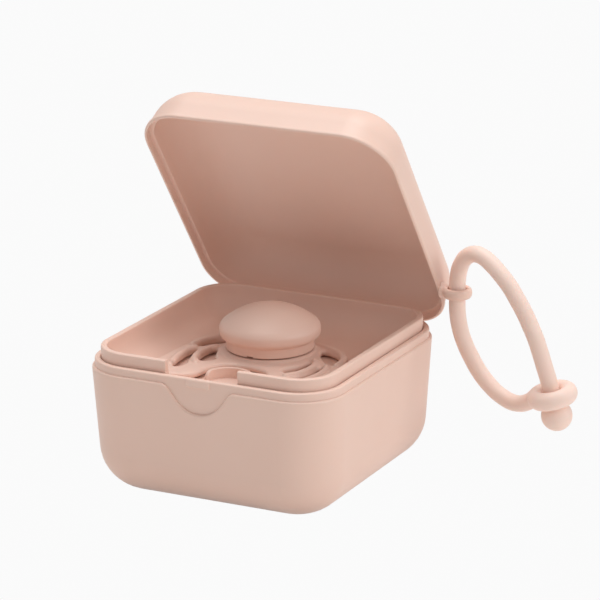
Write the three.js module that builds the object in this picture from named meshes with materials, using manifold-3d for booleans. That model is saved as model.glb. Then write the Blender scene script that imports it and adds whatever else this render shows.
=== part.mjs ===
// A pacifier box: a rounded box with a hinged lid, a lift-out tray that holds a pacifier,
// and a looped silicone strap that hangs in an eyelet on the lid. Millimetres, +Z up,
// front at -Y, origin at the middle of the box's underside. The lid stands half open.
import * as THREE from 'three';
import { mergeVertices } from 'three/addons/utils/BufferGeometryUtils.js';
import Module from 'manifold-3d';

const wasm = await Module();
wasm.setup();

// Base: the outer box and its stepped rim
const baseWidth = 68;
const baseDepth = 71;
const shoulderHeight = 32;
const baseCornerRadius = 12;
const baseDraftDegrees = 3;
const footRadius = 11;
const baseFloorThickness = 2;
const shoulderWidth = 0.7;
const bandHeight = 2;
const ledgeWidth = 2;
const cavityDraftDegrees = 1.5;
const cavityFootRadius = 9;
const smallestCornerRadius = 1;

// Base: thumb scoop and catch on the front
const scoopHalfWidth = 11.4;
const scoopDepth = 6.9;
const scoopShoulderRun = 4.2;
const scoopFloorHalfWidth = 0.8;
const scoopEdgeRise = 0.3;
const catchWidth = 6.6;
const catchHeight = 1.6;
const catchProud = 0.5;
const catchBelowLedge = 0.1;

// Base: upright ribs that carry the tray
const ribThickness = 1.6;
const ribDepth = 1.8;
const ribRoot = 1;
const ribSpacing = 34;

// Hinge on the back wall
const hingeAxisBehind = 0.4;
const hingeAxisBelowShoulder = 2.6;
const hingePinRadius = 0.9;
const hingePinLength = 31;
const hingeBoreClearance = 0.3;
const barrelWall = 0.8;
const lidKnuckleLength = 18;
const earLength = 5.8;
const hingeSideGap = 0.4;
const hingeSweepGap = 0.3;
const knuckleWebThickness = 1.6;
const knuckleWebFrontShare = 0.4;

// Tray that stands in the base
const fitGap = 0.3;
const trayRise = 3;
const trayFloorBelowShoulder = 3.6;
const trayFloorThickness = 1.8;
const trayWall = 1.6;
const trayBowlRadius = 6.5;
const trayNotchWidth = 19.6;
const trayOpeningRadius = 12;
const trayFootRound = 1.5;

// Locating lug on the tray, in the shield's nose notch
const lugThickness = 0.9;
const lugHeight = 2.9;
const lugSideGap = 1.1;
const lugBackGap = 3.5;

// Lid, drawn closed and then turned about the hinge
const lidOpenDegrees = 54.4;
const lidOverhang = 0.4;
const lidHeight = 14.6;
const lidWall = 1.9;
const lidDraftDegrees = 2.5;
const lidCrownRadius = 10;
const lidInnerCrownRadius = 8.4;
const lidBeadHeight = 1.4;
const lidBeadProud = 0.3;
const catchPocketSideGap = 0.3;
const catchPocketFrontGap = 0.2;

// Eyelet on the lid's side
const eyeletReach = 4;
const eyeletSetback = 13.8;
const eyeletRise = 1.1;
const eyeletHoleRadius = 2.45;
const eyeletRimWidth = 1.2;
const eyeletThickness = 2.6;
const eyeletArmWidth = 4.4;

// Strap: one cord, its ring and its ball
const strapDiameter = 4.2;
const ringHoleRadius = 2.4;
const ringRimWidth = 3.9;
const ringThickness = 4.4;
const ballRadius = 3.9;
const ringPlace = new THREE.Vector3(67.5, 23.6, 22.3);
const ballPlace = new THREE.Vector3(68.5, 24.2, 17.1);
const strapRoute = [
  [62.2, 26.5, 20.6], [59.6, 27.8, 18.3], [55.3, 29.5, 16.7], [50.9, 30.8, 17.5],
  [47.1, 31.6, 19.8], [44.2, 31.9, 22.8], [41.9, 32, 26.3], [40.2, 31.8, 29.8],
  [39, 31.5, 33.7], [38.5, 31.2, 37.4], [38.4, 31.1, 41], [38.4, 31.1, 42.9],
  [38.4, 31.1, 44.9], [39, 30.4, 48.2], [40.4, 29.2, 51.3], [42.5, 27.8, 53.7],
  [45.2, 26.5, 55], [48.1, 25.4, 54.7], [50.7, 24.6, 53.3], [53.3, 23.9, 51.3],
  [55.8, 23.4, 48.9], [58, 23, 46], [60.1, 22.9, 42.7], [61.7, 22.8, 39.7],
  [63.2, 22.8, 36.5], [64.4, 22.9, 33.1], [65.5, 23, 29.7], [66.4, 23.2, 26.8],
  [67.5, 23.6, 22.3], [67.83, 23.8, 20.6],
];

// Pacifier: where its axis stands behind the middle of the tray
const pacifierBack = 3.3;

// Pacifier shield: it fills the tray's flat floor from side to side
const shieldFrontRoom = 1.2;
const shieldBackRim = 0.6;
const shieldNotchShare = 0.494;
const shieldNotchWidthShare = 0.349;
const shieldThickness = 1.4;
const shieldBendDrop = 0.4;
const shieldSeatGap = 0.3;
const collarRadius = 12.8;
const collarTopRadius = 11.5;
const collarRise = 0.9;
const stemHoleRadius = 6.3;

// Half outline of the shield, from the notch round to the back: each curve's two handles and its end.
// Across they are shares of the half width, along they are shares of the reach in front or behind.
const shieldOutlineShares = [
  [0.227, -shieldNotchShare], [shieldNotchWidthShare, -0.574], [shieldNotchWidthShare, -0.736],
  [shieldNotchWidthShare, -0.891], [0.472, -1], [0.655, -1],
  [0.873, -1], [1, -0.83], [1, -0.604],
  [1, -0.377], [0.969, -0.132], [0.886, 0.037],
  [0.812, 0.343], [0.62, 0.612], [0.454, 0.701],
  [0.345, 0.761], [0.24, 1], [0, 1],
];

// Openings in one side of the shield: beside the collar, outside that, and behind. Each place
// is a share of a right angle from the side, then a share of the way from collar to side.
const ventShares = [
  [
    [-0.55, 0.21], [-0.55, 0.42], [-0.52, 0.55], [-0.44, 0.51], [-0.33, 0.38],
    [-0.22, 0.22], [-0.14, 0.12], [-0.17, 0.08], [-0.27, 0.11], [-0.41, 0.14],
  ],
  [
    [-0.56, 1.27], [-0.5, 1.24], [-0.4, 1.07], [-0.33, 0.91], [-0.23, 0.7],
    [-0.17, 0.56], [-0.19, 0.47], [-0.29, 0.56], [-0.42, 0.76], [-0.53, 0.99],
  ],
  [
    [-0.12, 0.54], [-0.03, 0.6], [0.07, 0.56], [0.19, 0.37], [0.29, 0.16],
    [0.29, 0.08], [0.21, 0.06], [0.09, 0.1], [-0.02, 0.28], [-0.11, 0.42],
  ],
];

// Pacifier knob
const knobRadius = 12.65;
const knobNeckRadius = 11.1;
const knobNeckHeight = 2.45;
const knobRimHeight = 3.45;
const knobCrownHeight = 5;
const knobCrownPower = 2.2;
const knobSeatGap = 0.3;
const knobRimShares = [[0, 0], [0.5, 0.09], [0.87, 0.29], [1, 0.6]];
const stemRadius = 3.4;
const stemLength = 5;

// Pacifier nipple
const nippleFlangeRadius = 7.2;
const nippleFlangeThickness = 1.2;
const nippleNeckRadius = 5.4;
const nippleBulbRadius = 8.2;
const nippleFloorClearance = 2.7;
const nippleWall = 1.5;

// Mesh fineness and the overrun of a cutting piece past what it cuts
const cornerSteps = 7;
const filletSteps = 6;
const roundSegments = 36;
const smallRoundSegments = 28;
const outlineSteps = 12;
const ventSteps = 30;
const crownSteps = 9;
const bulbSteps = 10;
const cordSides = 10;
const cordSteps = 64;
const mergeDistance = 1e-4;
const overrun = 1;

const radians = THREE.MathUtils.degToRad;
const hingeY = baseDepth / 2 + hingeAxisBehind;
const hingeZ = shoulderHeight - hingeAxisBelowShoulder;
const hingeBoreRadius = hingePinRadius + hingeBoreClearance;
const barrelRadius = hingeBoreRadius + barrelWall;
const ledgeHeight = shoulderHeight + bandHeight;
const cavityInset = shoulderWidth + ledgeWidth;
const trayFloorTop = shoulderHeight - trayFloorBelowShoulder;
const trayUnderside = trayFloorTop - trayFloorThickness;
const trayHalfX = baseWidth / 2 - cavityInset - fitGap;
const trayHalfY = baseDepth / 2 - cavityInset - fitGap;
const shieldHalfWidth = trayHalfX - trayWall - trayBowlRadius;
const shieldFrontReach = trayHalfY - trayWall - trayBowlRadius + pacifierBack - shieldFrontRoom;
const shieldBackReach = collarRadius + shieldBackRim;
const shieldTop = trayFloorTop + shieldSeatGap + shieldBendDrop + shieldThickness;

// Turns a geometry into a solid that can be joined and cut
function solid(geometry) {
  const bare = geometry.index ? geometry.toNonIndexed() : geometry.clone();
  bare.deleteAttribute('normal');
  bare.deleteAttribute('uv');
  const merged = mergeVertices(bare, mergeDistance);
  return new wasm.Manifold(new wasm.Mesh({
    numProp: 3,
    vertProperties: new Float32Array(merged.attributes.position.array),
    triVerts: new Uint32Array(merged.index.array),
  }));
}

// Turns a finished solid into a named mesh
function namedMesh(name, shape, material) {
  const result = shape.getMesh();
  const geometry = new THREE.BufferGeometry();
  geometry.setAttribute('position', new THREE.BufferAttribute(new Float32Array(result.vertProperties), 3));
  geometry.setIndex(new THREE.BufferAttribute(new Uint32Array(result.triVerts), 1));
  geometry.computeVertexNormals();
  const mesh = new THREE.Mesh(geometry, material);
  mesh.name = name;
  return mesh;
}

// One level of a rounded box: points round a rectangle with round corners
function roundedLevel(halfX, halfY, radius, z) {
  const points = [];
  const corners = [[1, 1], [-1, 1], [-1, -1], [1, -1]];
  corners.forEach(([signX, signY], index) => {
    for (let step = 0; step <= cornerSteps; step += 1) {
      const angle = (index + step / cornerSteps) * Math.PI / 2;
      points.push(new THREE.Vector3(
        signX * (halfX - radius) + radius * Math.cos(angle),
        signY * (halfY - radius) + radius * Math.sin(angle),
        z,
      ));
    }
  });
  return points;
}

// Joins levels, from the lowest up, into one closed skin with flat ends
function loft(levels) {
  const count = levels[0].length;
  const positions = [];
  const triangle = (a, b, c) => positions.push(...a.toArray(), ...b.toArray(), ...c.toArray());
  for (let level = 0; level < levels.length - 1; level += 1) {
    for (let i = 0; i < count; i += 1) {
      const j = (i + 1) % count;
      const [low, high] = [levels[level], levels[level + 1]];
      triangle(low[i], low[j], high[j]);
      triangle(low[i], high[j], high[i]);
    }
  }
  const bottom = levels[0];
  const top = levels[levels.length - 1];
  for (let i = 1; i < count - 1; i += 1) {
    triangle(bottom[0], bottom[i + 1], bottom[i]);
    triangle(top[0], top[i], top[i + 1]);
  }
  const geometry = new THREE.BufferGeometry();
  geometry.setAttribute('position', new THREE.Float32BufferAttribute(positions, 3));
  return geometry;
}

// Levels of a wall that leans in by a draft as it goes from its rim to a rounded end
function draftedLevels({ halfX, halfY, corner, rimZ, endZ, draft, round }) {
  const direction = Math.sign(endZ - rimZ);
  const lean = Math.tan(radians(draft));
  const levelAt = (z, inset) => {
    const total = inset + Math.abs(z - rimZ) * lean;
    const radius = Math.max(corner - total, smallestCornerRadius);
    return roundedLevel(halfX - total, halfY - total, radius, z);
  };
  const levels = [levelAt(rimZ, 0)];
  for (let step = 0; step <= filletSteps; step += 1) {
    const angle = step / filletSteps * Math.PI / 2;
    const z = endZ - direction * round * (1 - Math.sin(angle));
    levels.push(levelAt(z, round * (1 - Math.cos(angle))));
  }
  return direction > 0 ? levels : levels.reverse();
}

// A bar of any outline along X, made from an outline drawn in Y and Z
function barAlongX(outline, length, curveSegments = roundSegments) {
  const geometry = new THREE.ExtrudeGeometry(outline, { depth: length, bevelEnabled: false, curveSegments });
  geometry.applyMatrix4(new THREE.Matrix4().makeBasis(
    new THREE.Vector3(0, 1, 0),
    new THREE.Vector3(0, 0, 1),
    new THREE.Vector3(1, 0, 0),
  ));
  return geometry.translate(-length / 2, 0, 0);
}

// A round bar along X, centred on an axis in Y and Z
function roundBarAlongX(radius, length, y, z) {
  return new THREE.CylinderGeometry(radius, radius, length, roundSegments)
    .rotateZ(Math.PI / 2)
    .translate(0, y, z);
}

// A solid of revolution about the vertical, from radius and height pairs
function turned(profile, segments = roundSegments) {
  const points = profile.map(([r, z]) => new THREE.Vector2(r, z));
  return new THREE.LatheGeometry(points, segments).rotateX(Math.PI / 2);
}

// A box given by its lowest and highest corners
function block(low, high) {
  const size = high.map((value, i) => value - low[i]);
  const middle = high.map((value, i) => (value + low[i]) / 2);
  return new THREE.BoxGeometry(...size).translate(...middle);
}

// Base, with its step for the lid, the scoop, the catch, the hinge ears and the ribs
function baseShell() {
  const halfX = baseWidth / 2;
  const halfY = baseDepth / 2;
  const skin = draftedLevels({
    halfX,
    halfY,
    corner: baseCornerRadius,
    rimZ: shoulderHeight,
    endZ: 0,
    draft: baseDraftDegrees,
    round: footRadius,
  });
  const bandX = halfX - shoulderWidth;
  const bandY = halfY - shoulderWidth;
  const bandCorner = baseCornerRadius - shoulderWidth;
  const band = [
    roundedLevel(bandX, bandY, bandCorner, shoulderHeight - bandHeight),
    roundedLevel(bandX, bandY, bandCorner, ledgeHeight),
  ];
  const cavity = draftedLevels({
    halfX: halfX - cavityInset,
    halfY: halfY - cavityInset,
    corner: baseCornerRadius - cavityInset,
    rimZ: ledgeHeight + overrun,
    endZ: baseFloorThickness,
    draft: cavityDraftDegrees,
    round: cavityFootRadius,
  });
  let shape = solid(loft(skin)).add(solid(loft(band))).subtract(solid(scoopCutter()));
  shape = shape.add(solid(catchNub())).add(solid(hingeEars()));
  shape = shape.subtract(solid(loft(cavity)));
  for (const rib of supportRibs()) shape = shape.add(rib.intersect(solid(loft(skin))));
  shape = shape.subtract(hingeClearance());
  return shape;
}

// Thumb scoop: the skin dips in a smooth curve and shows the band behind it
function scoopCutter() {
  const outline = new THREE.Shape();
  outline.moveTo(-scoopHalfWidth, overrun);
  outline.lineTo(-scoopHalfWidth, scoopEdgeRise);
  outline.bezierCurveTo(
    -scoopHalfWidth + scoopShoulderRun, scoopEdgeRise,
    -scoopFloorHalfWidth - scoopShoulderRun, -scoopDepth,
    0, -scoopDepth,
  );
  outline.bezierCurveTo(
    scoopFloorHalfWidth + scoopShoulderRun, -scoopDepth,
    scoopHalfWidth - scoopShoulderRun, scoopEdgeRise,
    scoopHalfWidth, scoopEdgeRise,
  );
  outline.lineTo(scoopHalfWidth, overrun);
  const cutter = new THREE.ExtrudeGeometry(outline, {
    depth: baseCornerRadius, bevelEnabled: false, curveSegments: outlineSteps,
  });
  cutter.rotateX(Math.PI / 2);
  cutter.rotateX(radians(baseDraftDegrees));
  return cutter.translate(0, shoulderWidth - baseDepth / 2, shoulderHeight);
}

// Catch: a small rounded bar on the band, just under the ledge
function catchNub() {
  const end = catchHeight / 2;
  const reach = catchWidth / 2 - end;
  const outline = new THREE.Shape();
  outline.absarc(reach, 0, end, -Math.PI / 2, Math.PI / 2);
  outline.absarc(-reach, 0, end, Math.PI / 2, Math.PI * 3 / 2);
  const depth = catchProud + shoulderWidth;
  const nub = new THREE.ExtrudeGeometry(outline, { depth, bevelEnabled: false, curveSegments: outlineSteps });
  nub.rotateX(Math.PI / 2);
  return nub.translate(0, shoulderWidth * 2 - baseDepth / 2, ledgeHeight - catchBelowLedge - end);
}

// Hinge ears: two barrels on the back wall, either side of the lid's knuckle
function hingeEars() {
  const length = lidKnuckleLength + 2 * (hingeSideGap + earLength);
  const root = baseDepth / 2 - cavityInset;
  const outline = new THREE.Shape();
  outline.moveTo(root, hingeZ - barrelRadius * 2);
  outline.lineTo(hingeY, hingeZ - barrelRadius);
  outline.absarc(hingeY, hingeZ, barrelRadius, -Math.PI / 2, Math.PI / 2);
  outline.lineTo(root, hingeZ + barrelRadius);
  return barAlongX(outline, length);
}

// Room in the back wall for the lid's knuckle, and the bore for the pin
function hingeClearance() {
  const gapLength = lidKnuckleLength + 2 * hingeSideGap;
  const sweep = barrelRadius + hingeSweepGap;
  const room = solid(roundBarAlongX(sweep, gapLength, hingeY, hingeZ));
  const webFront = hingeY - barrelRadius * knuckleWebFrontShare - hingeSweepGap;
  const slot = solid(block(
    [-gapLength / 2, webFront, hingeZ],
    [gapLength / 2, hingeY + sweep + overrun, ledgeHeight + overrun],
  ));
  const behind = solid(block(
    [-gapLength / 2, baseDepth / 2 - shoulderWidth, hingeZ - barrelRadius * 3],
    [gapLength / 2, hingeY + sweep + overrun, hingeZ],
  ));
  const bore = solid(roundBarAlongX(hingeBoreRadius, hingePinLength + 2 * fitGap, hingeY, hingeZ));
  return room.add(slot).add(behind).add(bore);
}

// Ribs: they rise from the floor inside each wall, and the tray stands on them
function supportRibs() {
  const halfX = baseWidth / 2 - cavityInset;
  const halfY = baseDepth / 2 - cavityInset;
  const top = trayUnderside - fitGap;
  const ribs = [];
  const span = (half, side) => [(half - ribDepth) * side, (half + ribRoot) * side].sort((a, b) => a - b);
  for (const side of [-1, 1]) {
    for (const along of [-ribSpacing / 2, ribSpacing / 2]) {
      const [nearX, farX] = span(halfX, side);
      const [nearY, farY] = span(halfY, side);
      const half = ribThickness / 2;
      ribs.push(solid(block([nearX, along - half, baseFloorThickness / 2], [farX, along + half, top])));
      ribs.push(solid(block([along - half, nearY, baseFloorThickness / 2], [along + half, farY, top])));
    }
  }
  return ribs;
}

// Tray: a low walled bowl with a flat floor, a round opening, a front notch and a locating lug
function tray() {
  const corner = baseCornerRadius - cavityInset - fitGap;
  const top = ledgeHeight + trayRise;
  const lean = (z) => (z - ledgeHeight) * Math.tan(radians(cavityDraftDegrees));
  const level = (z, inset) => {
    const out = lean(z) - inset;
    return roundedLevel(trayHalfX + out, trayHalfY + out, corner - inset, z);
  };
  const outer = solid(loft([
    level(trayUnderside, trayFootRound / 2),
    level(trayUnderside + trayFootRound, 0),
    level(top, 0),
  ]));
  const brim = top + overrun;
  const inner = solid(loft(draftedLevels({
    halfX: trayHalfX + lean(brim) - trayWall,
    halfY: trayHalfY + lean(brim) - trayWall,
    corner: corner - trayWall,
    rimZ: brim,
    endZ: trayFloorTop,
    draft: cavityDraftDegrees,
    round: trayBowlRadius,
  })));
  const notch = solid(block(
    [-trayNotchWidth / 2, -trayHalfY - overrun, trayFloorTop],
    [trayNotchWidth / 2, -trayHalfY + trayWall + trayBowlRadius + overrun, brim],
  ));
  const openingHeight = trayFloorThickness + 2 * overrun;
  const opening = solid(
    new THREE.CylinderGeometry(trayOpeningRadius, trayOpeningRadius, openingHeight, roundSegments)
      .rotateX(Math.PI / 2)
      .translate(0, pacifierBack, trayFloorTop - trayFloorThickness / 2),
  );
  return outer.subtract(inner).subtract(notch).subtract(opening).add(locatingLug());
}

// Lug: a short curved wall in the shield's notch, hollow towards the front, whose top edge
// falls in a quarter circle to the floor at both ends
function locatingLug() {
  const outerRadius = shieldHalfWidth * shieldNotchWidthShare - lugSideGap;
  const back = pacifierBack - shieldFrontReach * shieldNotchShare - lugBackGap;
  const front = back - outerRadius;
  const root = trayFloorTop - trayFloorThickness / 2;
  const plan = new THREE.Shape();
  plan.absarc(0, 0, outerRadius, 0, Math.PI);
  plan.absarc(0, 0, outerRadius - lugThickness, Math.PI, 0, true);
  const wall = new THREE.ExtrudeGeometry(plan, {
    depth: trayFloorThickness / 2 + lugHeight + overrun, bevelEnabled: false, curveSegments: outlineSteps,
  });
  const side = new THREE.Shape();
  side.moveTo(front, root);
  side.lineTo(front, trayFloorTop);
  side.absarc(front + lugHeight, trayFloorTop, lugHeight, Math.PI, Math.PI / 2, true);
  side.lineTo(back + overrun, trayFloorTop + lugHeight);
  side.lineTo(back + overrun, root);
  const limit = barAlongX(side, 2 * (outerRadius + overrun), filletSteps);
  return solid(wall.translate(0, front, root)).intersect(solid(limit));
}

// Lid: a hollow cap with a rounded crown, a bead at the rim and a step that sits on the ledge
function lid() {
  const halfX = baseWidth / 2 + lidOverhang;
  const halfY = baseDepth / 2 + lidOverhang;
  const corner = baseCornerRadius + lidOverhang;
  const rimZ = shoulderHeight + fitGap;
  const topZ = rimZ + lidHeight;
  const beadTop = rimZ + lidBeadHeight;
  const bead = [
    roundedLevel(halfX, halfY, corner, rimZ),
    roundedLevel(halfX, halfY, corner, beadTop),
  ];
  const skin = draftedLevels({
    halfX: halfX - lidBeadProud,
    halfY: halfY - lidBeadProud,
    corner: corner - lidBeadProud,
    rimZ,
    endZ: topZ,
    draft: lidDraftDegrees,
    round: lidCrownRadius,
  });
  const stepZ = ledgeHeight + fitGap;
  const hollow = draftedLevels({
    halfX: halfX - lidWall,
    halfY: halfY - lidWall,
    corner: corner - lidWall,
    rimZ: rimZ - overrun,
    endZ: topZ - lidWall,
    draft: lidDraftDegrees,
    round: lidInnerCrownRadius,
  });
  const lipX = baseWidth / 2 - shoulderWidth + fitGap;
  const lipY = baseDepth / 2 - shoulderWidth + fitGap;
  const lipCorner = baseCornerRadius - shoulderWidth + fitGap;
  const rebate = [
    roundedLevel(lipX, lipY, lipCorner, rimZ - overrun),
    roundedLevel(lipX, lipY, lipCorner, stepZ),
  ];
  const pocketHalf = catchWidth / 2 + catchPocketSideGap;
  const pocketFront = baseDepth / 2 - shoulderWidth + catchProud + catchPocketFrontGap;
  const pocket = solid(block(
    [-pocketHalf, -pocketFront, rimZ - overrun],
    [pocketHalf, -lipY + overrun, stepZ],
  ));
  let shape = solid(loft(skin)).add(solid(loft(bead)));
  shape = shape.add(lidKnuckle()).add(eyelet());
  shape = shape.subtract(solid(loft(hollow))).subtract(solid(loft(rebate))).subtract(pocket);
  const bore = solid(roundBarAlongX(hingeBoreRadius, lidKnuckleLength + 2 * overrun, hingeY, hingeZ));
  const eyeletHole = solid(placeEyelet(
    new THREE.CylinderGeometry(eyeletHoleRadius, eyeletHoleRadius, eyeletThickness + 2 * overrun, roundSegments)
      .rotateX(Math.PI / 2),
  ));
  return shape.subtract(bore).subtract(eyeletHole);
}

// Knuckle: the barrel between the base's ears, and the web that joins it to the lid's rim
function lidKnuckle() {
  const webFront = hingeY - barrelRadius * knuckleWebFrontShare;
  const rimZ = shoulderHeight + fitGap;
  const outline = new THREE.Shape();
  outline.moveTo(webFront, hingeZ);
  outline.lineTo(hingeY + barrelRadius, hingeZ);
  outline.lineTo(hingeY + barrelRadius - fitGap, rimZ);
  outline.lineTo(baseDepth / 2 + lidOverhang - lidBeadProud, rimZ + lidBeadHeight + knuckleWebThickness);
  outline.lineTo(webFront, rimZ + lidBeadHeight);
  const web = solid(barAlongX(outline, lidKnuckleLength));
  return web.add(solid(roundBarAlongX(barrelRadius, lidKnuckleLength, hingeY, hingeZ)));
}

// Puts a piece drawn about the vertical into the eyelet's place on the closed lid
function placeEyelet(geometry) {
  return geometry
    .rotateX(radians(lidOpenDegrees))
    .translate(
      baseWidth / 2 + lidOverhang + eyeletReach,
      hingeY - eyeletSetback,
      shoulderHeight + fitGap + eyeletRise,
    );
}

// Eyelet: a flat round ring on a short arm out of the lid's side
function eyelet() {
  const half = eyeletThickness / 2;
  const outer = eyeletHoleRadius + eyeletRimWidth;
  const round = half / 2;
  const disc = solid(placeEyelet(turned([
    [0, -half], [outer - round, -half], [outer, -half + round],
    [outer, half - round], [outer - round, half], [0, half],
  ])));
  const arm = solid(placeEyelet(block(
    [-eyeletReach - lidWall / 2, -eyeletArmWidth / 2, -half],
    [0, eyeletArmWidth / 2, half],
  )));
  const besideBase = solid(block(
    [0, hingeY - eyeletSetback - outer * 2, shoulderHeight - outer * 2],
    [baseWidth / 2 + lidOverhang, hingeY - eyeletSetback + outer * 2, shoulderHeight + fitGap],
  ));
  return disc.add(arm).subtract(besideBase);
}

// Strap ring: a fat rounded ring that the cord runs through
function strapRing() {
  const middle = ringHoleRadius + ringRimWidth / 2;
  const section = [];
  for (let step = 0; step <= outlineSteps; step += 1) {
    const angle = step / outlineSteps * Math.PI * 2;
    section.push([middle + ringRimWidth / 2 * Math.cos(angle), ringThickness / 2 * Math.sin(angle)]);
  }
  return solid(alongCordEnd(turned(section, smallRoundSegments)).translate(...ringPlace.toArray()));
}

// Ball: the cord's end stop, flat where the cord meets it
function strapBall() {
  const flat = Math.acos(strapDiameter / 2 / ballRadius);
  const section = [[0, -ballRadius]];
  for (let step = 1; step <= bulbSteps; step += 1) {
    const angle = -Math.PI / 2 + (Math.PI / 2 + flat) * step / bulbSteps;
    section.push([ballRadius * Math.cos(angle), ballRadius * Math.sin(angle)]);
  }
  section.push([0, ballRadius * Math.sin(flat)]);
  return solid(alongCordEnd(turned(section, smallRoundSegments)).translate(...ballPlace.toArray()));
}

// Turns a piece drawn about the vertical to the line from the ball up to the ring
function alongCordEnd(geometry) {
  const direction = ringPlace.clone().sub(ballPlace).normalize();
  const turn = new THREE.Quaternion().setFromUnitVectors(new THREE.Vector3(0, 0, 1), direction);
  return geometry.applyQuaternion(turn);
}

// Cord: from the ring's side, through the eyelet, round and through the ring to the ball
function strapCord() {
  const route = strapRoute.map((point) => new THREE.Vector3(...point));
  const curve = new THREE.CatmullRomCurve3(route, false, 'centripetal');
  const section = new THREE.Shape();
  for (let side = 0; side < cordSides; side += 1) {
    const angle = side / cordSides * Math.PI * 2;
    const place = [strapDiameter / 2 * Math.cos(angle), strapDiameter / 2 * Math.sin(angle)];
    if (side === 0) section.moveTo(...place);
    else section.lineTo(...place);
  }
  return solid(new THREE.ExtrudeGeometry(section, {
    steps: cordSteps, extrudePath: curve, bevelEnabled: false,
  }));
}

// Shield: a bent plate with a nose notch and vents, and a collar for the knob
function pacifierShield() {
  const collar = solid(turned([
    [0, shieldTop - shieldThickness], [collarRadius, shieldTop - shieldThickness], [collarRadius, shieldTop],
    [collarTopRadius, shieldTop + collarRise / 2], [collarTopRadius, shieldTop + collarRise],
    [0, shieldTop + collarRise],
  ]));
  const holeHeight = 2 * (shieldThickness + collarRise + overrun);
  const hole = solid(new THREE.CylinderGeometry(stemHoleRadius, stemHoleRadius, holeHeight, roundSegments)
    .rotateX(Math.PI / 2)
    .translate(0, 0, shieldTop));
  let shape = solid(bentPlate()).intersect(throughPlate(shieldOutline()));
  for (const vent of shieldVents()) shape = shape.subtract(throughPlate(vent));
  return placePacifier(shape.add(collar).subtract(hole));
}

// A prism of any outline that goes through the whole bent plate
function throughPlate(outline) {
  const depth = shieldThickness + shieldBendDrop + 2 * overrun;
  const prism = new THREE.ExtrudeGeometry(outline, { depth, bevelEnabled: false, curveSegments: outlineSteps });
  return solid(prism.translate(0, 0, shieldTop + overrun - depth));
}

// The plate before its outline is cut: a shallow arch along Y
function bentPlate() {
  const bendRadius = (shieldHalfWidth ** 2 + shieldBendDrop ** 2) / (2 * shieldBendDrop);
  const spread = Math.asin((shieldHalfWidth + overrun) / bendRadius);
  const outline = new THREE.Shape();
  outline.absarc(0, shieldTop - bendRadius, bendRadius, Math.PI / 2 + spread, Math.PI / 2 - spread, true);
  outline.absarc(0, shieldTop - bendRadius, bendRadius - shieldThickness, Math.PI / 2 - spread, Math.PI / 2 + spread);
  const depth = shieldFrontReach + shieldBackReach + 2 * overrun;
  const plate = new THREE.ExtrudeGeometry(outline, { depth, bevelEnabled: false, curveSegments: outlineSteps });
  return plate.rotateX(Math.PI / 2).translate(0, shieldBackReach + overrun, 0);
}

// Outline of the shield: two lobes in front with a notch for the nose between them
function shieldOutline() {
  const place = ([across, along]) => [
    across * shieldHalfWidth,
    along * (along < 0 ? shieldFrontReach : shieldBackReach),
  ];
  const start = [0, -shieldNotchShare];
  const half = [start, ...shieldOutlineShares];
  const mirrored = half.slice(0, -1).reverse().map(([across, along]) => [-across, along]);
  const round = [...shieldOutlineShares, ...mirrored].map(place);
  const outline = new THREE.Shape();
  outline.moveTo(...place(start));
  for (let i = 0; i < round.length; i += 3) outline.bezierCurveTo(...round[i], ...round[i + 1], ...round[i + 2]);
  return outline;
}

// Vents: three openings on each side that leave curved ribs between them
function shieldVents() {
  const vents = [];
  for (const shares of ventShares) {
    for (const side of [1, -1]) {
      const points = shares.map(([turn, reach]) => {
        const angle = turn * Math.PI / 2;
        const radius = collarRadius + reach * (shieldHalfWidth - collarRadius);
        return new THREE.Vector3(side * radius * Math.cos(angle), radius * Math.sin(angle), 0);
      });
      if (side < 0) points.reverse();
      vents.push(new THREE.Shape(new THREE.CatmullRomCurve3(points, true).getPoints(ventSteps).slice(0, -1)));
    }
  }
  return vents;
}

// Knob: a mushroom button on a neck, with a stem that plugs into the nipple
function pacifierKnob() {
  const seat = shieldTop + collarRise + knobSeatGap;
  const rim = seat + knobNeckHeight;
  const crownBase = rim + knobRimHeight;
  const profile = [[0, seat - stemLength], [stemRadius, seat - stemLength], [stemRadius, seat], [knobNeckRadius, seat]];
  for (const [out, height] of knobRimShares) {
    profile.push([THREE.MathUtils.lerp(knobNeckRadius, knobRadius, out), rim + knobRimHeight * height]);
  }
  for (let step = 0; step <= crownSteps; step += 1) {
    const reach = 1 - step / crownSteps;
    profile.push([knobRadius * reach, crownBase + knobCrownHeight * (1 - reach ** knobCrownPower)]);
  }
  return placePacifier(solid(turned(profile)));
}

// Nipple: a flange under the shield, a neck and a rounded bulb, hollow and open at the top
function pacifierNipple() {
  const top = shieldTop - shieldThickness - fitGap;
  const under = top - nippleFlangeThickness;
  const tip = baseFloorThickness + nippleFloorClearance;
  const bulbMiddle = tip + nippleBulbRadius;
  const outer = [[nippleFlangeRadius, top], [nippleFlangeRadius, under], [nippleNeckRadius, under]];
  const inner = [[0, tip + nippleWall]];
  const neckTurn = Math.asin(nippleNeckRadius / nippleBulbRadius);
  for (let step = 0; step <= bulbSteps; step += 1) {
    const angle = Math.PI - neckTurn - (Math.PI - neckTurn) * step / bulbSteps;
    outer.push([nippleBulbRadius * Math.sin(angle), bulbMiddle - nippleBulbRadius * Math.cos(angle)]);
  }
  outer[outer.length - 1][0] = 0;
  const hollowRadius = nippleBulbRadius - nippleWall;
  const hollowNeck = nippleNeckRadius - nippleWall;
  const hollowTurn = Math.asin(hollowNeck / hollowRadius);
  for (let step = 1; step <= bulbSteps; step += 1) {
    const angle = (Math.PI - hollowTurn) * step / bulbSteps;
    inner.push([hollowRadius * Math.sin(angle), bulbMiddle - hollowRadius * Math.cos(angle)]);
  }
  inner.push([hollowNeck, top]);
  return placePacifier(solid(turned([...outer, ...inner, outer[0]].reverse())));
}

// Puts a piece drawn about the pacifier's axis into its place in the tray
function placePacifier(shape) {
  return shape.translate([0, pacifierBack, 0]);
}

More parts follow.
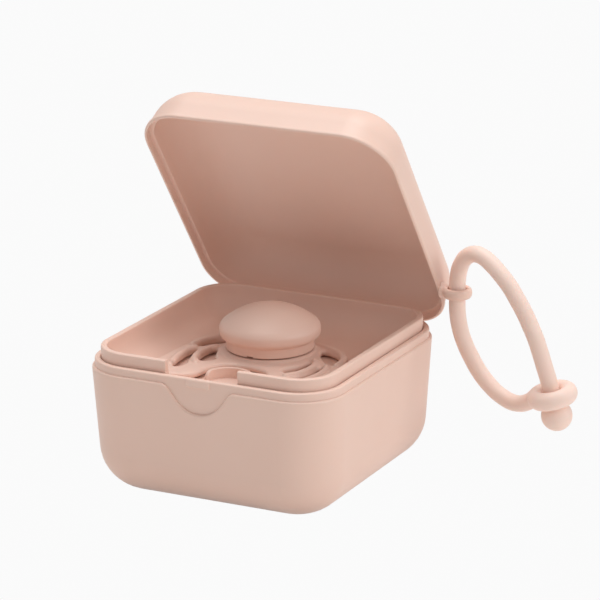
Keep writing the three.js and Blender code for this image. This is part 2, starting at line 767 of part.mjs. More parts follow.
// Colours: one blush pink moulded plastic, and softer silicone for strap and nipple
const plastic = new THREE.MeshStandardMaterial({ color: '#e6c8ba', roughness: 0.55, metalness: 0 });
const silicone = new THREE.MeshStandardMaterial({ color: '#efcfc1', roughness: 0.6, metalness: 0 });
const nippleRubber = new THREE.MeshStandardMaterial({ color: '#d8a878', roughness: 0.35, metalness: 0 });

const box = new THREE.Group();
box.add(namedMesh('base_shell', baseShell(), plastic));
box.add(namedMesh('tray', tray(), plastic));
box.add(namedMesh('hinge_pin', solid(roundBarAlongX(hingePinRadius, hingePinLength, hingeY, hingeZ)), plastic));

const hinge = new THREE.Group();
hinge.position.set(0, hingeY, hingeZ);
hinge.rotation.x = -radians(lidOpenDegrees);
const lidMesh = namedMesh('lid', lid(), plastic);
lidMesh.position.set(0, -hingeY, -hingeZ);
hinge.add(lidMesh);
box.add(hinge);

box.add(namedMesh('strap_cord', strapCord(), silicone));
box.add(namedMesh('strap_ring', strapRing(), silicone));
box.add(namedMesh('strap_ball', strapBall(), silicone));
box.add(namedMesh('pacifier_shield', pacifierShield(), plastic));
box.add(namedMesh('pacifier_knob', pacifierKnob(), plastic));
box.add(namedMesh('pacifier_nipple', pacifierNipple(), nippleRubber));

export default box;
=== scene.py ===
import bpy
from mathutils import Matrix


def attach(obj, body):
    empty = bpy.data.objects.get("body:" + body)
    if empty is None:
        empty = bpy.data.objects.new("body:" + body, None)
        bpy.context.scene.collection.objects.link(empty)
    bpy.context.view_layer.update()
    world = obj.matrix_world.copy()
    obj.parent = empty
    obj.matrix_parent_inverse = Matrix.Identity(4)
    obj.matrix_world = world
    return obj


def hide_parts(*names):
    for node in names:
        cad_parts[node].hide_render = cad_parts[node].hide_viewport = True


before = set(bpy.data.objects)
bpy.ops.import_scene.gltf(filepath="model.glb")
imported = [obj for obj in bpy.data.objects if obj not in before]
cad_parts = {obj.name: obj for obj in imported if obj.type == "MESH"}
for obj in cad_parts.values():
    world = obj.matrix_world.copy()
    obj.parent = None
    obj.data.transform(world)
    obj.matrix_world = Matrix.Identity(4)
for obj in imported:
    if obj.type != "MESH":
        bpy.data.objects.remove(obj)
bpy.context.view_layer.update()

import math

import bmesh
import bpy
from mathutils import Matrix, Vector

MM = 0.001
scene = bpy.context.scene

# Camera: a long lens, 83 cm away, that looks down by 17 degrees on the box's front right
# corner. It rolls by half a degree and is shifted a little, as the photograph's framing is.
view_turn = math.radians(27.004)
view_rise = math.radians(17.04)
view_roll = math.radians(-0.456)
view_target = Vector((4.73, 2.28, 43.08)) * MM
view_distance = 826.9 * MM
back = Vector((
    math.sin(view_turn) * math.cos(view_rise),
    -math.cos(view_turn) * math.cos(view_rise),
    math.sin(view_rise),
))
level_right = Vector((math.cos(view_turn), math.sin(view_turn), 0))
level_up = back.cross(level_right)
right = level_right * math.cos(view_roll) + level_up * math.sin(view_roll)
up = level_up * math.cos(view_roll) - level_right * math.sin(view_roll)
camera_data = bpy.data.cameras.new("camera")
camera_data.lens = 200.93
camera_data.sensor_width = 36
camera_data.shift_x = 0.025
camera_data.shift_y = 0.0091
camera_data.clip_start = 0.05
camera = bpy.data.objects.new("camera", camera_data)
scene.collection.objects.link(camera)
camera.matrix_world = Matrix.Translation(view_target + back * view_distance) @ Matrix((
    (right.x, up.x, back.x, 0),
    (right.y, up.y, back.y, 0),
    (right.z, up.z, back.z, 0),
    (0, 0, 0, 1),
))
scene.camera = camera


# Strap cord: a moulded silicone cord, 4.2 mm thick, that runs from the ring through the
# lid's eyelet, round in a loop and back through the ring to the ball. Silicone rubber has
# a dry satin skin that takes dust, so its shine is soft and a little uneven.
def add_node(tree, kind, links=None, **settings):
    """Adds a node, sets its properties or sockets, and links sockets to it."""
    node = tree.nodes.new(kind)
    for name, value in settings.items():
        if hasattr(node, name):
            setattr(node, name, value)
        else:
            node.inputs[name.replace("_", " ")].default_value = value
    for name, source in (links or {}).items():
        tree.links.new(source, node.inputs[name])
    return node


def linear(hex_colour):
    """An sRGB hex colour as linear red, green, blue and alpha."""
    channels = [int(hex_colour[i:i + 2], 16) / 255 for i in (1, 3, 5)]
    return [c / 12.92 if c <= 0.04045 else ((c + 0.055) / 1.055) ** 2.4 for c in channels] + [1]


def moulded_material(name, deep, pale, roughness, grain_mm, grain_height_mm, ior, subsurface, sheen=0.0):
    """A moulded pink polymer: a faint drift of colour, uneven shine and a fine mould grain."""
    # The melt's colour drifts over about 14 mm, and handling leaves spots about 5 mm across.
    # The grain of a mould is under 0.1 mm, so the one given is drawn coarser, to show.
    drift_mm = 14
    handling_mm = 5
    glossier = 0.05
    duller = 0.06
    material = bpy.data.materials.new(name)
    material.use_nodes = True
    tree = material.node_tree
    shader = tree.nodes["Principled BSDF"]
    place = add_node(tree, "ShaderNodeTexCoord")
    drift = add_node(tree, "ShaderNodeTexNoise", {"Vector": place.outputs["Object"]},
                     Scale=1 / (drift_mm * MM), Detail=2.0, Roughness=0.45)
    colour = add_node(tree, "ShaderNodeMix", {"Factor": drift.outputs["Fac"]}, data_type="RGBA")
    colour.inputs[6].default_value = linear(deep)
    colour.inputs[7].default_value = linear(pale)
    tree.links.new(colour.outputs[2], shader.inputs["Base Color"])
    handling = add_node(tree, "ShaderNodeTexNoise", {"Vector": place.outputs["Object"]},
                        Scale=1 / (handling_mm * MM), Detail=3.0, Roughness=0.6)
    shine = add_node(tree, "ShaderNodeMapRange", {"Value": handling.outputs["Fac"]})
    shine.inputs["To Min"].default_value = roughness - glossier
    shine.inputs["To Max"].default_value = roughness + duller
    tree.links.new(shine.outputs["Result"], shader.inputs["Roughness"])
    grain = add_node(tree, "ShaderNodeTexNoise", {"Vector": place.outputs["Object"]},
                     Scale=1 / (grain_mm * MM), Detail=2.0, Roughness=0.5)
    relief = add_node(tree, "ShaderNodeBump", {"Height": grain.outputs["Fac"]},
                      Strength=1.0, Distance=grain_height_mm * MM)
    tree.links.new(relief.outputs["Normal"], shader.inputs["Normal"])
    shader.inputs["IOR"].default_value = ior
    shader.inputs["Subsurface Weight"].default_value = subsurface
    shader.inputs["Subsurface Radius"].default_value = (1.0, 0.45, 0.3)
    shader.inputs["Subsurface Scale"].default_value = 1.2 * MM
    shader.inputs["Sheen Weight"].default_value = sheen
    shader.inputs["Sheen Roughness"].default_value = 0.5
    return material


silicone = moulded_material("blush_silicone_rubber", "#f6d8ca", "#f9dfd3", roughness=0.5, grain_mm=0.5,
                            grain_height_mm=0.006, ior=1.41, subsurface=0.12, sheen=0.06)

strap_diameter = 4.2 * MM
strap_route = [
    (62.2, 26.5, 20.6), (59.6, 27.8, 18.3), (55.3, 29.5, 16.7), (50.9, 30.8, 17.5),
    (47.1, 31.6, 19.8), (44.2, 31.9, 22.8), (41.9, 32, 26.3), (40.2, 31.8, 29.8),
    (39, 31.5, 33.7), (38.5, 31.2, 37.4), (38.4, 31.1, 41), (38.4, 31.1, 42.9),
    (38.4, 31.1, 44.9), (39, 30.4, 48.2), (40.4, 29.2, 51.3), (42.5, 27.8, 53.7),
    (45.2, 26.5, 55), (48.1, 25.4, 54.7), (50.7, 24.6, 53.3), (53.3, 23.9, 51.3),
    (55.8, 23.4, 48.9), (58, 23, 46), (60.1, 22.9, 42.7), (61.7, 22.8, 39.7),
    (63.2, 22.8, 36.5), (64.4, 22.9, 33.1), (65.5, 23, 29.7), (66.4, 23.2, 26.8),
    (67.5, 23.6, 22.3), (67.83, 23.8, 20.6),
]
strap_curve = bpy.data.curves.new("strap_cord", "CURVE")
strap_curve.dimensions = "3D"
strap_curve.bevel_depth = strap_diameter / 2
strap_curve.bevel_resolution = 6
strap_curve.resolution_u = 6
strap_curve.use_fill_caps = True
strap_spline = strap_curve.splines.new("BEZIER")
strap_spline.bezier_points.add(len(strap_route) - 1)
for point, place in zip(strap_spline.bezier_points, strap_route):
    point.co = Vector(place) * MM
    point.handle_left_type = point.handle_right_type = "AUTO"
strap_cord = bpy.data.objects.new("strap_loop", strap_curve)
scene.collection.objects.link(strap_cord)
strap_curve.materials.append(silicone)
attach(strap_cord, "strap")
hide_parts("strap_cord")


# Strap ring: a fat round silicone ring, moulded in one with the end of the cord that
# meets its side. The other end is pushed through it, so its hole grips the cord.
def finished(mesh_maker, name, material, body, node=None, angle=32):
    """Turns a bmesh into a smooth shaded piece that rides on a body."""
    mesh = bpy.data.meshes.new(name)
    mesh_maker.to_mesh(mesh)
    mesh_maker.free()
    mesh.polygons.foreach_set("use_smooth", [True] * len(mesh.polygons))
    mesh.set_sharp_from_angle(angle=math.radians(angle))
    piece = bpy.data.objects.new(name, mesh)
    scene.collection.objects.link(piece)
    mesh.materials.append(material)
    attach(piece, body)
    if node:
        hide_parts(node)
    return piece


def turned_form(profile, steps=64):
    """Spins a profile of radius and height pairs, in metres, about the vertical."""
    form = bmesh.new()
    points = [form.verts.new((radius, 0, height)) for radius, height in profile]
    edges = [form.edges.new(pair) for pair in zip(points, points[1:])]
    bmesh.ops.spin(form, geom=points + edges, cent=(0, 0, 0), axis=(0, 0, 1), dvec=(0, 0, 0),
                   angle=math.tau, steps=steps, use_merge=True, use_duplicate=False)
    bmesh.ops.remove_doubles(form, verts=form.verts, dist=0.5e-6)
    bmesh.ops.recalc_face_normals(form, faces=form.faces)
    return form


def arc(centre, radius, start, end, steps):
    """Points on an arc, from one angle in degrees to another, as radius and height pairs."""
    angles = [math.radians(start + (end - start) * step / steps) for step in range(steps + 1)]
    return [(centre[0] + radius * math.cos(a), centre[1] + radius * math.sin(a)) for a in angles]


ring_place = Vector((67.5, 23.6, 22.3)) * MM
ball_place = Vector((68.5, 24.2, 17.1)) * MM
hang = (ring_place - ball_place).normalized()
hang_turn = Vector((0, 0, 1)).rotation_difference(hang).to_matrix().to_4x4()
ring_hole = 2.2 * MM
ring_rim = 4.1 * MM
ring_height = 4.6 * MM
ring_sides = 28
ring_form = turned_form([
    (ring_hole + ring_rim / 2 + ring_rim / 2 * math.cos(a), ring_height / 2 * math.sin(a))
    for a in [math.tau * step / ring_sides for step in range(ring_sides + 1)]
], steps=56)
bmesh.ops.transform(ring_form, matrix=Matrix.Translation(ring_place) @ hang_turn, verts=ring_form.verts)
strap_ring = finished(ring_form, "strap_keeper_ring", silicone, "strap",
                      "strap_ring", angle=180)

# Strap ball: the silicone bead at the cord's end. It stops the ring from sliding off.
ball_radius = 3.9 * MM
ball_profile = [(0, -ball_radius)] + arc((0, 0), ball_radius, -84, 84, 26) + [(0, ball_radius)]
ball_form = turned_form(ball_profile, steps=48)
bmesh.ops.transform(ball_form, matrix=Matrix.Translation(ball_place) @ hang_turn, verts=ball_form.verts)
strap_ball = finished(ball_form, "strap_end_ball", silicone, "strap",
                      "strap_ball", angle=180)

# Base: the box itself, one matte polypropylene moulding with a softly sloping side and a
# deep rounded foot. Its rim steps in to a narrow band that the lid closes over, and the
# skin dips in front in a smooth curve, so that a thumb can push the lid up.
polypropylene = moulded_material("blush_polypropylene", "#edcbbb", "#f0cfc0", roughness=0.46, grain_mm=0.3,
                                 grain_height_mm=0.004, ior=1.49, subsurface=0.06)


def rounded_block(half_x, half_y, near, far, corner, lean_degrees, end_round, round_steps=12):
    """A block with round upright corners that leans in to its far end, where its edge is round."""
    block = bmesh.new()
    bmesh.ops.create_cube(block, size=2.0)
    bmesh.ops.scale(block, vec=(half_x, half_y, abs(far - near) / 2), verts=block.verts)
    bmesh.ops.translate(block, vec=(0, 0, (near + far) / 2), verts=block.verts)
    inward = abs(far - near) * math.tan(math.radians(lean_degrees))
    ends = [v for v in block.verts if abs(v.co.z - far) < abs(v.co.z - near)]
    bmesh.ops.scale(block, vec=(1 - inward / half_x, 1 - inward / half_y, 1), verts=ends)
    upright = [e for e in block.edges if abs(e.verts[0].co.z - e.verts[1].co.z) > MM]
    bmesh.ops.bevel(block, geom=upright, offset=corner, offset_type="OFFSET", affect="EDGES",
                    segments=14, profile=0.5, material=-1, clamp_overlap=False)
    rim = [e for e in block.edges if all(abs(v.co.z - far) < 0.01 * MM for v in e.verts)]
    bmesh.ops.bevel(block, geom=rim, offset=end_round, offset_type="OFFSET", affect="EDGES",
                    segments=round_steps, profile=0.5, material=-1, clamp_overlap=False)
    return block


def level_face(form, height):
    """The largest face that lies flat at a height."""
    flat = [f for f in form.faces if all(abs(v.co.z - height) < 0.01 * MM for v in f.verts)]
    return max(flat, key=lambda f: f.calc_area())


def step_in(form, face, width):
    """Draws a face's outline in by a width, and returns the smaller face."""
    bmesh.ops.inset_region(form, faces=[face], thickness=width, use_even_offset=True, use_boundary=True)
    return face


def raise_face(form, face, height, lean_degrees=0.0):
    """Moves a face up or down on new walls, which may lean inwards, and returns it."""
    made = bmesh.ops.extrude_face_region(form, geom=[face])
    bmesh.ops.delete(form, geom=[face], context="FACES_ONLY")
    moved = [v for v in made["geom"] if isinstance(v, bmesh.types.BMVert)]
    bmesh.ops.translate(form, vec=(0, 0, height), verts=moved)
    half_x = max(abs(v.co.x) for v in moved)
    half_y = max(abs(v.co.y) for v in moved)
    inward = abs(height) * math.tan(math.radians(lean_degrees))
    bmesh.ops.scale(form, vec=(1 - inward / half_x, 1 - inward / half_y, 1), verts=moved)
    return [f for f in made["geom"] if isinstance(f, bmesh.types.BMFace)][0]


def mark(edges, layer, kind):
    """Writes a kind on edges, so that they are still known after other cuts."""
    for edge in edges:
        edge[layer] = kind


def split(form, faces, place, normal):
    """Cuts faces, and no others, along a plane through a place in millimetres."""
    edges = dict.fromkeys(edge for face in faces for edge in face.edges)
    verts = dict.fromkeys(vert for face in faces for vert in face.verts)
    bmesh.ops.bisect_plane(form, geom=[*faces, *edges, *verts], dist=1e-6,
                           plane_co=Vector(place) * MM, plane_no=normal)


def soften(form, edges, radius, steps):
    """Rounds a run of edges over."""
    bmesh.ops.bevel(form, geom=edges, offset=radius, offset_type="OFFSET", affect="EDGES",
                    segments=steps, profile=0.5, material=-1, clamp_overlap=True)


def cut_away(piece, tools, operation="DIFFERENCE"):
    """Cuts tools out of a piece, or joins them to it, and applies the cut."""
    for tool in tools:
        modifier = piece.modifiers.new("cut", "BOOLEAN")
        modifier.operation = operation
        modifier.solver = "EXACT"
        modifier.object = tool
    settle(piece)
    for tool in tools:
        bpy.data.objects.remove(tool)


def settle(piece):
    """Turns a piece's modifiers into its own mesh."""
    bpy.context.view_layer.update()
    graph = bpy.context.evaluated_depsgraph_get()
    mesh = bpy.data.meshes.new_from_object(piece.evaluated_get(graph), depsgraph=graph)
    piece.modifiers.clear()
    piece.data = mesh


def tool_from(form):
    """A form that is only there to cut a piece or to be joined to it, as an object."""
    mesh = bpy.data.meshes.new("tool")
    form.to_mesh(mesh)
    form.free()
    tool = bpy.data.objects.new("tool", mesh)
    scene.collection.objects.link(tool)
    return tool


def block_form(low, high):
    """A plain block between two corners, in millimetres."""
    form = bmesh.new()
    bmesh.ops.create_cube(form, size=1.0)
    size = [(b - a) * MM for a, b in zip(low, high)]
    middle = [(a + b) / 2 * MM for a, b in zip(low, high)]
    bmesh.ops.scale(form, vec=size, verts=form.verts)
    bmesh.ops.translate(form, vec=middle, verts=form.verts)
    return form


def slide_edge(form, high, at_back, shift):
    """Moves a block's upper or lower edge, at its front or back, by millimetres."""
    middle = sum((v.co for v in form.verts), Vector()) / len(form.verts)
    moved = [v for v in form.verts if (v.co.z > middle.z) == high and (v.co.y > middle.y) == at_back]
    bmesh.ops.translate(form, vec=Vector(shift) * MM, verts=moved)


def rod_form(radius, length, y, z):
    """A round rod along X, in millimetres."""
    form = bmesh.new()
    bmesh.ops.create_cone(form, cap_ends=True, segments=40, radius1=radius * MM, radius2=radius * MM,
                          depth=length * MM)
    bmesh.ops.rotate(form, matrix=Matrix.Rotation(math.pi / 2, 3, "Y"), verts=form.verts)
    bmesh.ops.translate(form, vec=(0, y * MM, z * MM), verts=form.verts)
    return form


def crisp(piece, radius_mm, steps=2):
    """Breaks the sharp edges that are left and evens out the shading of the flats."""
    piece.data.polygons.foreach_set("use_smooth", [True] * len(piece.data.polygons))
    bevel = piece.modifiers.new("edge", "BEVEL")
    bevel.width = radius_mm * MM
    bevel.segments = steps
    bevel.limit_method = "ANGLE"
    bevel.angle_limit = math.radians(50)
    shading = piece.modifiers.new("shading", "WEIGHTED_NORMAL")
    shading.keep_sharp = False
    shading.weight = 60


base_width = 68 * MM
base_depth = 71 * MM
shoulder = 32 * MM
ledge = 34 * MM
floor_top = 2 * MM
band_inset = 0.7 * MM
ledge_width = 1.5 * MM
base_corner = 12.4 * MM
base_lean = 3.0
base_foot = 10.7 * MM
cavity_lean = 1.5
cavity_foot = 7.6 * MM
skin_rim, band_foot, band_rim, ledge_rim = 1, 2, 3, 4
base_form = rounded_block(base_width / 2, base_depth / 2, shoulder, 0, base_corner, base_lean, base_foot)
top = level_face(base_form, shoulder)
edge_kind = base_form.edges.layers.int.new("edge_kind")
mark(top.edges, edge_kind, skin_rim)
top = step_in(base_form, top, band_inset)
mark(top.edges, edge_kind, band_foot)
top = raise_face(base_form, top, ledge - shoulder)
mark(top.edges, edge_kind, band_rim)
top = step_in(base_form, top, ledge_width)
mark(top.edges, edge_kind, ledge_rim)
top = raise_face(base_form, top, floor_top - ledge, lean_degrees=cavity_lean)
soften(base_form, list(top.edges), cavity_foot, steps=8)

scoop_reach = 10.26
scoop_depth = 6.7
scoop_floor_radius = 7.5
scoop_shoulder_radius = 3.0
scoop_slope = math.radians(53.5)
scoop_spacing = 0.45
scoop_cuts = 23


def scoop_drop(across):
    """How far the skin dips at a distance from the middle, in millimetres: an arc, a slope, an arc."""
    floor_end = scoop_floor_radius * math.sin(scoop_slope)
    slope_end = scoop_reach - scoop_shoulder_radius * math.sin(scoop_slope)
    if across >= slope_end:
        return scoop_shoulder_radius - math.sqrt(scoop_shoulder_radius ** 2 - (scoop_reach - across) ** 2)
    on_floor = min(across, floor_end)
    floor_drop = scoop_depth - scoop_floor_radius + math.sqrt(scoop_floor_radius ** 2 - on_floor ** 2)
    return floor_drop - (across - on_floor) * math.tan(scoop_slope)


def wall_faces(form, side):
    """The faces of the front wall, for a side of -1, or of the rear wall, for 1."""
    return [f for f in form.faces if all(side * v.co.y > wall_reach * MM for v in f.verts)]


# Cuts in the front wall give the dip its points, and a few more there and in the rear wall
# keep any one face from growing so large that its shading shows.
wall_reach = 20
beside_scoop = (12, 14, 16.5, 19, 21.6)
rear_sides = (-16, 16)
rear_heights = (24, 20)
front_cuts = [step * scoop_spacing for step in range(-scoop_cuts, scoop_cuts + 1)]
front_cuts += [-x for x in reversed(beside_scoop)]
front_cuts += beside_scoop
for x in front_cuts:
    split(base_form, wall_faces(base_form, -1), (x, 0, 0), (1, 0, 0))
for vert in base_form.verts:
    across = abs(vert.co.x) / MM
    kinds = {edge[edge_kind] for edge in vert.link_edges}
    if across < scoop_reach and vert.co.y < 0 and kinds & {skin_rim, band_foot}:
        drop = scoop_drop(across) * MM
        vert.co.z -= drop
        vert.co.y += drop * math.tan(math.radians(base_lean))
for x in rear_sides:
    split(base_form, wall_faces(base_form, 1), (x, 0, 0), (1, 0, 0))
for z in rear_heights:
    split(base_form, wall_faces(base_form, 1), (0, 0, z), (0, 0, 1))
for kind, radius, steps in ((skin_rim, 0.65, 5), (band_rim, 0.5, 3), (ledge_rim, 0.45, 3)):
    soften(base_form, [e for e in base_form.edges if e[edge_kind] == kind], radius * MM, steps)
base = finished(base_form, "base_box", polypropylene, "box", "base_shell")

# Hinge: two polypropylene barrels, on saddles that run out of the back wall, hold a plastic
# pin. The lid's knuckle turns on it between them, and the wall is cut away there for the
# knuckle and its web.
hinge_y = 35.9
hinge_z = 29.4
barrel = 2.0
bore = 1.2
pin_radius = 0.9
pin_length = 31
knuckle_half = 9.0
side_gap = 0.4
turn_gap = 0.3
ear_length = 5.8
saddle_front = 33.4
saddle_depth_share = 1.5
saddle_slant_share = 0.5
web_front_share = 0.4
cut_past_hinge = 4
cut_top = 36
bore_length = 60
room = knuckle_half + side_gap
web_front = hinge_y - barrel * web_front_share
cut_away(base, [
    tool_from(block_form((-room, web_front - turn_gap, hinge_z), (room, hinge_y + cut_past_hinge, cut_top))),
    tool_from(rod_form(barrel + turn_gap, 2 * room, hinge_y, hinge_z)),
])
crisp(base, radius_mm=0.18)
for side, hand in ((-1, "left"), (1, "right")):
    ear_form = rod_form(barrel, ear_length, hinge_y, hinge_z)
    saddle = block_form((-ear_length / 2, saddle_front, hinge_z - barrel * saddle_depth_share),
                        (ear_length / 2, hinge_y, hinge_z + barrel))
    slide_edge(saddle, high=False, at_back=True, shift=(0, 0, barrel * saddle_slant_share))
    ear = finished(ear_form, "hinge_ear_" + hand, polypropylene, "box")
    cut_away(ear, [tool_from(saddle)], "UNION")
    ear.data.transform(Matrix.Translation((side * (room + ear_length / 2) * MM, 0, 0)))
    cut_away(ear, [tool_from(rod_form(bore, bore_length, hinge_y, hinge_z))])
    crisp(ear, radius_mm=0.3, steps=3)
pin_form = rod_form(pin_radius, pin_length, hinge_y, hinge_z)
pin = finished(pin_form, "hinge_rod", polypropylene, "box", "hinge_pin")
crisp(pin, radius_mm=0.25)

# Catch: a small rounded bar of the same polypropylene, moulded on the band's front, which
# clicks into a pocket in the lid's lip. Its front leans back so that the lid slides over it.
catch_half = 3.3
catch_front = -35.5
catch_back = -33.9
catch_low = 32.1
catch_high = 34.05
catch_lean = 0.75
catch_round = 0.7
catch_form = block_form((-catch_half, catch_front, catch_low), (catch_half, catch_back, catch_high))
slide_edge(catch_form, high=True, at_back=False, shift=(0, catch_lean, 0))
soften(catch_form, list(catch_form.edges), catch_round * MM, steps=6)
finished(catch_form, "catch_bar", polypropylene, "box")

# Tray: a loose dish of the same polypropylene that fits inside the base's rim. Its low wall
# is open at the front for a finger, and the nipple hangs through its round opening.
tray_half_width = 31.58 * MM
tray_half_depth = 33.08 * MM
tray_corner = 9.5 * MM
tray_lean = 1.5
tray_top = 37 * MM
tray_floor = 28.4 * MM
tray_under = 26.6 * MM
tray_foot = 0.9 * MM
tray_wall = 1.6 * MM
tray_bowl = 6.9 * MM
tray_rim_round = 0.4 * MM
pacifier_back = 3.3
wall_rim = 1
tray_form = rounded_block(tray_half_width, tray_half_depth, tray_top, tray_under, tray_corner, tray_lean,
                          tray_foot, round_steps=3)
top = level_face(tray_form, tray_top)
tray_edges = tray_form.edges.layers.int.new("edge_kind")
mark(top.edges, tray_edges, wall_rim)
top = step_in(tray_form, top, tray_wall)
mark(top.edges, tray_edges, wall_rim)
top = raise_face(tray_form, top, tray_floor - tray_top, lean_degrees=tray_lean)
soften(tray_form, list(top.edges), tray_bowl, steps=12)
soften(tray_form, [e for e in tray_form.edges if e[tray_edges] == wall_rim], tray_rim_round, steps=4)
tray = finished(tray_form, "tray_dish", polypropylene, "tray", "tray")
notch_half = 9.8
notch_front = -34
notch_back = -23.4
notch_floor = 28.4
notch_top = 40
opening_radius = 12 * MM
opening_height = 6 * MM
opening_middle = 27.5
notch = block_form((-notch_half, notch_front, notch_floor), (notch_half, notch_back, notch_top))
opening_form = bmesh.new()
bmesh.ops.create_cone(opening_form, cap_ends=True, segments=72, radius1=opening_radius,
                      radius2=opening_radius, depth=opening_height)
bmesh.ops.translate(opening_form, vec=Vector((0, pacifier_back, opening_middle)) * MM,
                    verts=opening_form.verts)
cut_away(tray, [tool_from(notch), tool_from(opening_form)])
crisp(tray, radius_mm=0.35, steps=3)

# Lug: a small curved wall, moulded on the tray's floor in the same plastic. It sits in the
# nose notch of the pacifier's shield and keeps it from turning. Its top falls off in an arc
# to both ends.
lug_inner = 5.4
lug_wall = 0.9
lug_front = -19.9
lug_height = 2.6
lug_foot = 28.2
lug_crest = 31
lug_form = bmesh.new()
lug_section = [(lug_inner, lug_foot), (lug_inner + lug_wall, lug_foot),
               (lug_inner + lug_wall, lug_crest), (lug_inner, lug_crest)]
lug_face = lug_form.faces.new([lug_form.verts.new((r * MM, 0, h * MM)) for r, h in lug_section])
bmesh.ops.spin(lug_form, geom=[lug_face], cent=(0, 0, 0), axis=(0, 0, 1), dvec=(0, 0, 0),
               angle=math.pi, steps=60, use_merge=False, use_duplicate=False)
for vert in lug_form.verts:
    short = max(lug_height * MM - vert.co.y, 0)
    if vert.co.z > (lug_foot + lug_crest) / 2 * MM:
        vert.co.z = tray_floor + math.sqrt(max((lug_height * MM) ** 2 - short ** 2, 0))
bmesh.ops.recalc_face_normals(lug_form, faces=lug_form.faces)
bmesh.ops.translate(lug_form, vec=(0, lug_front * MM, 0), verts=lug_form.verts)
lug = finished(lug_form, "tray_lug", polypropylene, "tray")
crisp(lug, radius_mm=0.3, steps=3)

# Lid: the hollow cap of the box, moulded in the same polypropylene. Its crown is deeply
# rounded, a low bead runs round its rim, and a shallow step inside the rim sits on the
# base's ledge. It is drawn shut and then opened about the hinge.
lid_open_degrees = 54.4
to_hinge = Matrix.Translation((0, hinge_y * MM, hinge_z * MM))
lid_open = to_hinge @ Matrix.Rotation(math.radians(-lid_open_degrees), 4, "X") @ to_hinge.inverted()
lid_half_width = 34.1 * MM
lid_half_depth = 35.6 * MM
lid_rim = 32.3 * MM
lid_top = 46.9 * MM
lid_corner = 12 * MM
lid_lean = 2.5
lid_crown = 10 * MM
lip_width = 0.5 * MM
lip_height = 2.0 * MM
seat_width = 1.1 * MM
hollow_height = 10.7 * MM
hollow_crown = 8.2 * MM
outer_rim, inner_rim = 1, 2
lid_form = rounded_block(lid_half_width, lid_half_depth, lid_rim, lid_top, lid_corner, lid_lean, lid_crown)
lid_edges = lid_form.edges.layers.int.new("edge_kind")
rim = level_face(lid_form, lid_rim)
mark(rim.edges, lid_edges, outer_rim)
rim = step_in(lid_form, rim, lip_width)
mark(rim.edges, lid_edges, inner_rim)
rim = raise_face(lid_form, rim, lip_height)
rim = step_in(lid_form, rim, seat_width)
mark(rim.edges, lid_edges, inner_rim)
rim = raise_face(lid_form, rim, hollow_height, lean_degrees=lid_lean)
soften(lid_form, list(rim.edges), hollow_crown, steps=10)

# The bead is the skin under its own top, pushed out. The skin is told from the lip inside by
# how far it lies from the block that the round corners turn about.
bead_top = 33.45
bead_slope_top = 33.75
bead_proud = 0.3
turn_block = Vector((22, 23.5)) * MM
skin_reach = 11.85 * MM
for z in (bead_top, bead_slope_top):
    split(lid_form, list(lid_form.faces), (0, 0, z), (0, 0, 1))
for vert in lid_form.verts:
    beyond = Vector((max(abs(vert.co.x) - turn_block.x, 0), max(abs(vert.co.y) - turn_block.y, 0)))
    if vert.co.z < (bead_top + bead_slope_top) / 2 * MM and beyond.length > skin_reach:
        outward = Vector((math.copysign(beyond.x, vert.co.x), math.copysign(beyond.y, vert.co.y), 0))
        vert.co += outward.normalized() * bead_proud * MM
for kind, radius, steps in ((outer_rim, 0.5, 4), (inner_rim, 0.25, 3)):
    soften(lid_form, [e for e in lid_form.edges if e[lid_edges] == kind], radius * MM, steps)
lid = finished(lid_form, "lid_cap", polypropylene, "lid", "lid")

# A pocket in the lip takes the catch when the lid is shut.
pocket_half = 3.7
pocket_back = -34.0
pocket_low = 31
pocket_high = 34.3
cut_away(lid, [tool_from(block_form((-pocket_half, catch_front, pocket_low),
                                    (pocket_half, pocket_back, pocket_high)))])
crisp(lid, radius_mm=0.15)
settle(lid)
lid.data.transform(lid_open)

# Knuckle: the lid's own barrel, on a short web that reaches down from the back rim. It is
# one moulding with the lid and turns on the pin.
web_top = 33.6
web_slant = (0, -2.0, 1.6)
knuckle_form = rod_form(barrel, 2 * knuckle_half, hinge_y, hinge_z)
knuckle = finished(knuckle_form, "lid_knuckle", polypropylene, "lid")
web_form = block_form((-knuckle_half, web_front, hinge_z), (knuckle_half, hinge_y + barrel, web_top))
slide_edge(web_form, high=True, at_back=True, shift=web_slant)
cut_away(knuckle, [tool_from(web_form)], "UNION")
cut_away(knuckle, [tool_from(rod_form(bore, bore_length, hinge_y, hinge_z))])
crisp(knuckle, radius_mm=0.3, steps=3)
settle(knuckle)
knuckle.data.transform(lid_open)


# Eyelet: a flat ring on a short neck, moulded in one with the lid's side wall. The strap hangs
# in it, so it is drawn upright to the strap. Two blocks, turned with the lid, trim its root
# where it would meet the base when the lid shuts.
def plug_form(radius, low, high):
    """An upright round plug between two heights, in millimetres."""
    return turned_form([(r * MM, h * MM) for r, h in ((0, low), (radius, low), (radius, high), (0, high))])


def melt_joins(piece, voxel_mm, rounds):
    """Makes one skin of a piece's overlapping forms and evens out where they join."""
    remesh = piece.modifiers.new("blend", "REMESH")
    remesh.mode = "VOXEL"
    remesh.voxel_size = voxel_mm * MM
    remesh.use_smooth_shade = True
    smooth = piece.modifiers.new("smooth", "SMOOTH")
    smooth.iterations = rounds
    settle(piece)


